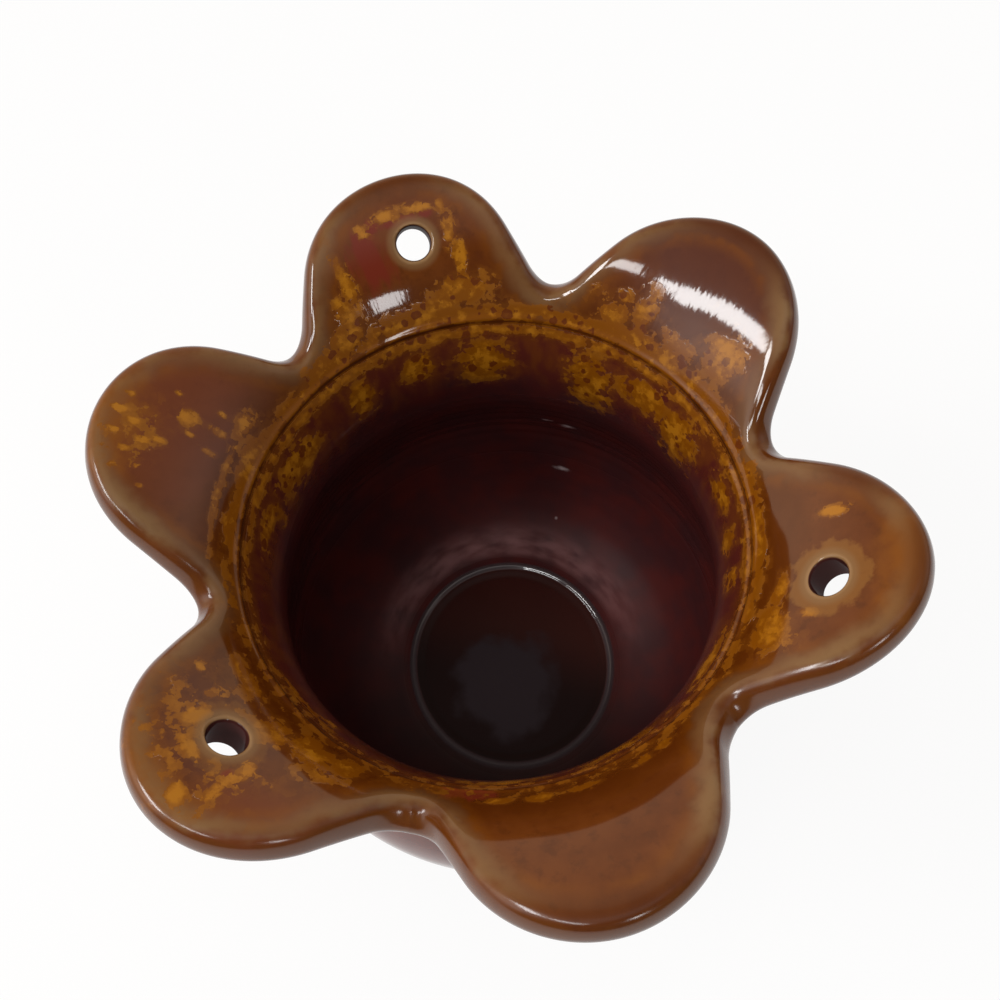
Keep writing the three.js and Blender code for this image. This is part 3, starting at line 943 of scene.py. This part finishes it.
def petal_glaze():
    """The petals: glossy on top, worn duller along the front edges, with the pot's outer glaze below."""
    material, nodes = new_glaze("caramel_glaze")
    spot, radius, height, ring = places(nodes)
    colour = petal_edge(nodes, petal_ground(nodes, spot, radius, ring), spot)
    deep = (1 - nodes.smooth(radius, *DEEP_OCHRE)) * THROAT_DEEP
    colour, flakes = ochre_over(nodes, colour, ochre_thickness(nodes, spot), spot, deep)
    rearward = nodes.vector("DOT_PRODUCT", spot, REARWARD, 1)
    spots = liver_spots(nodes, spot) * flakes * (1 - nodes.smooth(radius, *SPOTTED_OCHRE))
    spots = spots * nodes.smooth(rearward, 0, 30 * MM)
    colour = nodes.mix(spots * 0.8, colour, LIVER)
    colour, bore = hole_rim(nodes, colour, spot)
    fine = nodes.noise(streaked(nodes, ring, radius, 3), 1.1 * MM, 2) * nodes.laid("fine_runs")
    relief_height = ripples(nodes, spot) + flakes * FLAKE_RISE + fine * 0.26
    inset = nodes.laid("inset")
    frontward = nodes.vector("DOT_PRODUCT", spot, FRONTWARD, 1)
    worn = (1 - nodes.smooth(inset, *WORN_EDGE)) * nodes.smooth(frontward, -40 * MM, 0)
    finish_glaze(material, nodes, colour, 0.07 + flakes * 0.05 + worn * 0.12, relief_height)
    lay_over(material, nodes, bore * 0.85, nodes.add("BsdfDiffuse", {}, {"Color": BORE}))
    edge = (1 - nodes.smooth(inset, *UNDERSIDE_EDGE)) * nodes.smooth(radius, *VALLEY_EDGE)
    underside = nodes.laid("outside") * (1 - edge) * (1 - bore)
    lay_over(material, nodes, underside, outer_glaze(nodes, spot, height, ring))
    return material


def inner_ground(nodes, spot, height, streak):
    """The glaze of the inside: amber at the groove and rust under it, running down into dark plum."""
    level = height + nodes.noise(streak, 7 * MM, 4) * (30 * MM)
    plum = nodes.mix(nodes.smooth(nodes.noise(spot, 12 * MM, 4), -0.2, 0.2), PLUM, PLUM_RED)
    rust = nodes.mix(nodes.smooth(nodes.noise(streak, 4 * MM, 4), -0.15, 0.15), RUST, MAROON)
    rust = nodes.mix(nodes.smooth(height, *AMBER_BROW) * 0.8, rust, AMBER)
    return nodes.mix(nodes.smooth(level, *RUST_RUNS), plum, rust)


def outer_glaze(nodes, spot, height, ring):
    """The outside, the same on every part: caramel under the brim runs in tongues over a maroon belly."""
    streak = streaked(nodes, ring, height, STREAK)
    tongues = height + nodes.noise(streak, 9 * MM, 4) * (70 * MM)
    caramel = nodes.mix(nodes.smooth(nodes.noise(spot, 6 * MM, 4), -0.2, 0.2), CARAMEL_DARK, CARAMEL)
    belly = nodes.mix(nodes.smooth(nodes.noise(streak, 12 * MM, 5), -0.05, 0.25), BELLY, BELLY_DARK)
    colour = nodes.mix(nodes.smooth(tongues, *CARAMEL_TONGUES), belly, caramel)
    normal = raised(nodes, ripples(nodes, spot), GLAZE_DEPTH)
    gloss = {"Roughness": 0.12, "Specular IOR Level": 0.3}
    return nodes.add("BsdfPrincipled", {}, {"Base Color": colour, "Normal": normal, **gloss})


def throat_glaze():
    """The collar: amber and rust under ochre curtains with liver spots, duller just below the groove."""
    material, nodes = new_glaze("amber_glaze")
    spot, _, height, ring = places(nodes)
    streak = streaked(nodes, ring, height, STREAK)
    colour = inner_ground(nodes, spot, height, streak)
    colour, flakes = ochre_over(nodes, colour, ochre_thickness(nodes, spot), spot, INSIDE_DEEP)
    colour = nodes.mix(liver_spots(nodes, spot) * flakes * 0.85, colour, LIVER)
    relief_height = ripples(nodes, spot) + flakes * FLAKE_RISE
    brow = nodes.smooth(height, *DULL_BROW)
    finish_glaze(material, nodes, colour, 0.15 + flakes * 0.05 + brow * 0.1, relief_height)
    lay_over(material, nodes, nodes.laid("outside"), outer_glaze(nodes, spot, height, ring))
    return material


# Painted highlights: small pale smears for glints of light on the inside wall
def paint_glints(nodes, colour, spot):
    for mark, stretch, reach in PAINTED_GLINTS:
        middle = Vector(mark) * Vector(stretch) * MM
        away = nodes.vector("DISTANCE", nodes.vector("MULTIPLY", spot, stretch), middle, 1)
        uneven = nodes.noise(spot, 1.5 * MM, 3) * (reach * MM)
        smear = 1 - nodes.smooth(away + uneven, 0, reach * MM)
        colour = nodes.mix(smear * 0.8, colour, GLINT_PAINT)
    return colour


def floor_ground(nodes, spot, rearward):
    """The floor's glaze, with painted shade that darkens it towards the front and a painted grey
    reflection in its middle.
    """
    # Painted reflection: a pale grey patch in the middle of the floor
    reflection_distance = nodes.vector("DISTANCE", spot, (*FLOOR_REFLECTION_PLACE, FLOOR_LEVEL), 1)
    reflection_distance = reflection_distance + nodes.noise(spot, 12 * MM, 3) * (20 * MM)
    # Painted shade: the floor darkens towards the front
    colour = nodes.mix(nodes.smooth(rearward, -10 * MM, 15 * MM), PAINTED_FRONT_SHADE, FLOOR_PLUM)
    return nodes.mix(1 - nodes.smooth(reflection_distance, 0.65 * FLOOR_REFLECTION_REACH, FLOOR_REFLECTION_REACH), colour, FLOOR_REFLECTION_PAINT)


def bowl_glaze():
    """Wall and floor: plum with a painted sheen round the floor, painted glints, painted shade at the
    front, and a ridge painted pale grey for its sheen that shines at the rear.
    """
    material, nodes = new_glaze("plum_glaze")
    spot, _, height, ring = places(nodes)
    streak = streaked(nodes, ring, height, STREAK)
    colour = inner_ground(nodes, spot, height, streak)
    colour, _ = ochre_over(nodes, colour, ochre_thickness(nodes, spot), spot, INSIDE_DEEP)
    unsqueezed = nodes.vector("MULTIPLY", spot, (1 / FLOOR_SQUEEZE, 1, 0))
    radius = nodes.vector("LENGTH", unsqueezed, (0, 0, 0), 1)
    rearward = nodes.vector("DOT_PRODUCT", spot, REARWARD, 1)
    # Painted sheen: a pale mauve band round the floor, strongest towards the rear, in place of the
    # reflection in the hollow's curve
    corner = band(nodes, radius, *WALL_FOOT, *SHEEN_BAND_END) * (1 - nodes.smooth(height, *SHEEN_BAND_TOP))
    wisps = nodes.noise(streaked(nodes, ring, radius, 0.25), 12 * MM, 5, 0.4)
    sheen_band = corner * nodes.smooth(wisps, -0.4, 0.3)
    towards_rear = nodes.vector("DOT_PRODUCT", spot, SHEEN_BAND_SIDE, 1)
    colour = nodes.mix(sheen_band * nodes.smooth(towards_rear, -8 * MM, 44 * MM), colour, PAINTED_FOOT_SHEEN)
    colour = paint_glints(nodes, colour, spot)
    # Painted shade: darker at the front of the hollow, low on the wall and on the floor
    foot = 1 - nodes.smooth(height, *DARK_FOOT)
    front_shade = (1 - nodes.smooth(rearward, -40 * MM, 5 * MM)) * foot
    colour = nodes.mix(front_shade * 0.7, colour, PAINTED_FRONT_SHADE)
    low = 1 - nodes.smooth(height, *FLOOR_TOP)
    disc = (1 - nodes.smooth(radius, *FLOOR_DISC)) * low
    colour = nodes.mix(disc, colour, floor_ground(nodes, spot, rearward))
    # Painted sheen: the ridge is painted pale grey where it catches the light; its coat shines at the rear
    ridge_middle = FLOOR_RADIUS + RIDGE_WIDTH / 2
    ridge_side = nodes.add("Math", {"operation": "ABSOLUTE"}, {0: radius - ridge_middle})
    ridge = (1 - nodes.smooth(ridge_side, *RIDGE_SIDE)) * low
    colour = nodes.mix(ridge, colour, PAINTED_RIDGE_SHEEN)
    shader = material.node_tree.nodes["Principled BSDF"]
    nodes.fill(shader, {"Specular IOR Level": 0.14, "Coat Roughness": 0.06, "Coat IOR": 1.9})
    nodes.fill(shader, {"Coat Weight": ridge * nodes.smooth(rearward, -10 * MM, 12 * MM)})
    slope = nodes.smooth(radius, *WALL_FOOT) * foot
    finish_glaze(material, nodes, colour, 0.25 + slope * 0.25, ripples(nodes, spot))
    lay_over(material, nodes, nodes.laid("outside"), outer_glaze(nodes, spot, height, ring))
    return material


def foot_clay():
    """Bare buff clay with dark specks and a gritty face."""
    material, nodes = new_glaze("buff_clay")
    spot, _, _, _ = places(nodes)
    colour = nodes.mix(nodes.smooth(nodes.noise(spot, 5 * MM, 5), -0.2, 0.2), BUFF, BUFF_DARK)
    specks = nodes.smooth(nodes.noise(spot, 0.8 * MM, 2), 0.15, 0.2)
    colour = nodes.mix(specks * 0.7, colour, LIVER)
    grit = nodes.noise(spot, 0.6 * MM, 3)
    return finish_glaze(material, nodes, colour, 0.85 + grit * 0.2, grit, GRIT_DEPTH)


def dress(piece, node, material):
    piece.data.materials.clear()
    piece.data.materials.append(material)
    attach(piece, "root")
    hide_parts(node)


CAMERA_PLACE = Vector((-17.2, -118.1, 372.9)) * MM
CAMERA_AIM = Vector((5.54, 16.72, 100)) * MM
CAMERA_ROLL = radians(-6.79)
CAMERA_LENS = 39.6
CAMERA_SENSOR = 36
NEAREST_SEEN = 10 * MM


def set_camera():
    camera = bpy.data.objects.new("camera", bpy.data.cameras.new("camera"))
    bpy.context.scene.collection.objects.link(camera)
    camera.data.lens = CAMERA_LENS
    camera.data.sensor_width = CAMERA_SENSOR
    camera.data.sensor_fit = "HORIZONTAL"
    camera.data.clip_start = NEAREST_SEEN
    look = (CAMERA_AIM - CAMERA_PLACE).to_track_quat("-Z", "Y").to_matrix().to_4x4()
    camera.matrix_world = Matrix.Translation(CAMERA_PLACE) @ look @ Matrix.Rotation(CAMERA_ROLL, 4, "Z")
    bpy.context.scene.camera = camera


ROOM_LIGHT = rgb(1.0, 0.95, 0.92)
WALL_LIGHT = rgb(1.25, 0.95, 0.68)
LAMP_AIM = Vector((0, 0, 0.13))
STAGE_SIZE = 6

# Lamps: azimuth and elevation in degrees, distance, width and height, tilt in degrees, and brightness
LAMPS = {
    "window": (178, 47.5, 1.6, 0.60, 0.21, -9, 20),
    "second_window": (217.3, 52.5, 1.6, 0.595, 0.15, 0, 14),
    "far_window": (-74.5, 33.5, 1.6, 0.24, 0.28, 0, 12),
    "overhead": (90, 88, 1.4, 1.6, 1.6, 0, 1.1),
}


def area_light(name, azimuth, elevation, distance, width, height, tilt, radiance):
    """A rectangular lamp that faces the pot, tilted in its own plane, with a given radiance."""
    data = bpy.data.lights.new(name, "AREA")
    data.shape = "RECTANGLE"
    data.size = width
    data.size_y = height
    data.energy = radiance * pi * width * height
    lamp = bpy.data.objects.new(name, data)
    bpy.context.scene.collection.objects.link(lamp)
    turn = radians(azimuth)
    rise = radians(elevation)
    away = Vector((cos(rise) * cos(turn), cos(rise) * sin(turn), sin(rise)))
    tilted = Matrix.Rotation(radians(tilt), 4, "Z")
    facing = away.to_track_quat("Z", "Y").to_matrix().to_4x4() @ tilted
    lamp.matrix_world = Matrix.Translation(LAMP_AIM + away * distance) @ facing


def room_level(nodes, across, ahead, up):
    """How bright the room is: dim in front, low down and overhead, brighter behind and on the left."""
    level = 0.62 - nodes.smooth(up, 0.3, 0.9) * 0.42
    level = level * (0.5 + nodes.smooth(up, 0.1, 0.45) * 0.5)
    rear = nodes.smooth(ahead, 0.2, 0.8)
    level = level + rear * (1 - nodes.smooth(up, 0.1, 0.45)) * 0.35
    level = level * (0.2 + nodes.smooth(ahead, -0.6, -0.05) * 0.8)
    level = level + nodes.smooth(across, -0.3, -0.8) * nodes.smooth(ahead, -0.4, -0.05) * 0.42
    glow = band(nodes, ahead, -0.35, -0.2, 0.3, 0.45) * band(nodes, up, 0.2, 0.45, 0.55, 0.72)
    level = level + glow * nodes.smooth(across, -0.3, -0.7) * 0.8
    return level + nodes.smooth(ahead, 0.25, -0.15) * nodes.smooth(up, 0.8, 0.97) * 0.25


def set_light():
    """A warm pale room with three windows and a soft lamp overhead."""
    world = bpy.data.worlds.new("studio")
    bpy.context.scene.world = world
    nodes = Nodes(world)
    direction = nodes.add("TexCoord", {}, {}, "Generated")
    across, ahead, up = [nodes.add("SeparateXYZ", {}, {0: direction}, axis) for axis in range(3)]
    level = room_level(nodes, across, ahead, up)
    colour = nodes.mix(nodes.smooth(ahead, -0.2, 0.6), ROOM_LIGHT, WALL_LIGHT)
    nodes.fill(world.node_tree.nodes["Background"], {"Strength": level, "Color": colour})
    for name, sizes in LAMPS.items():
        area_light(name, *sizes)
    bpy.data.objects["overhead"].visible_glossy = False


def floor_white():
    """White to the eye and in reflections, with a light shadow left in it."""
    material, nodes = new_glaze("floor_white")
    shader = material.node_tree.nodes["Principled BSDF"]
    nodes.fill(shader, {"Base Color": rgb(0.9, 0.9, 0.9), "Roughness": 0.9})
    seen = nodes.add("LightPath", {}, {}, "Is Camera Ray")
    seen = seen + nodes.add("LightPath", {}, {}, "Is Glossy Ray")
    seen = seen + nodes.add("LightPath", {}, {}, "Is Transmission Ray")
    white = nodes.add("Emission", {}, {"Color": rgb(1, 1, 1), "Strength": 1})
    lay_over(material, nodes, seen * 0.9, white)
    return material


def set_floor():
    bpy.ops.object.select_all(action="DESELECT")
    bpy.ops.mesh.primitive_plane_add(size=STAGE_SIZE)
    floor = bpy.context.object
    floor.name = "floor"
    floor.data.materials.append(floor_white())


set_camera()
set_light()
set_floor()

wall = squeezed(bowl_wall())
lay_wall_glaze(wall)
collar = throat_collar()
lay_wall_glaze(collar)
disc = squeezed(bowl_floor())
lay_wall_glaze(disc)
plum = bowl_glaze()
caramel = petal_glaze()
dress(wall, "bowl_wall", plum)
dress(disc, "bowl_floor", plum)
dress(foot_ring(), "foot_ring", foot_clay())
dress(collar, "throat_collar", throat_glaze())
for i, node in enumerate(PETAL_HABITS):
    dress(petal(i), node, caramel)

bpy.context.scene.view_settings.view_transform = "Standard"
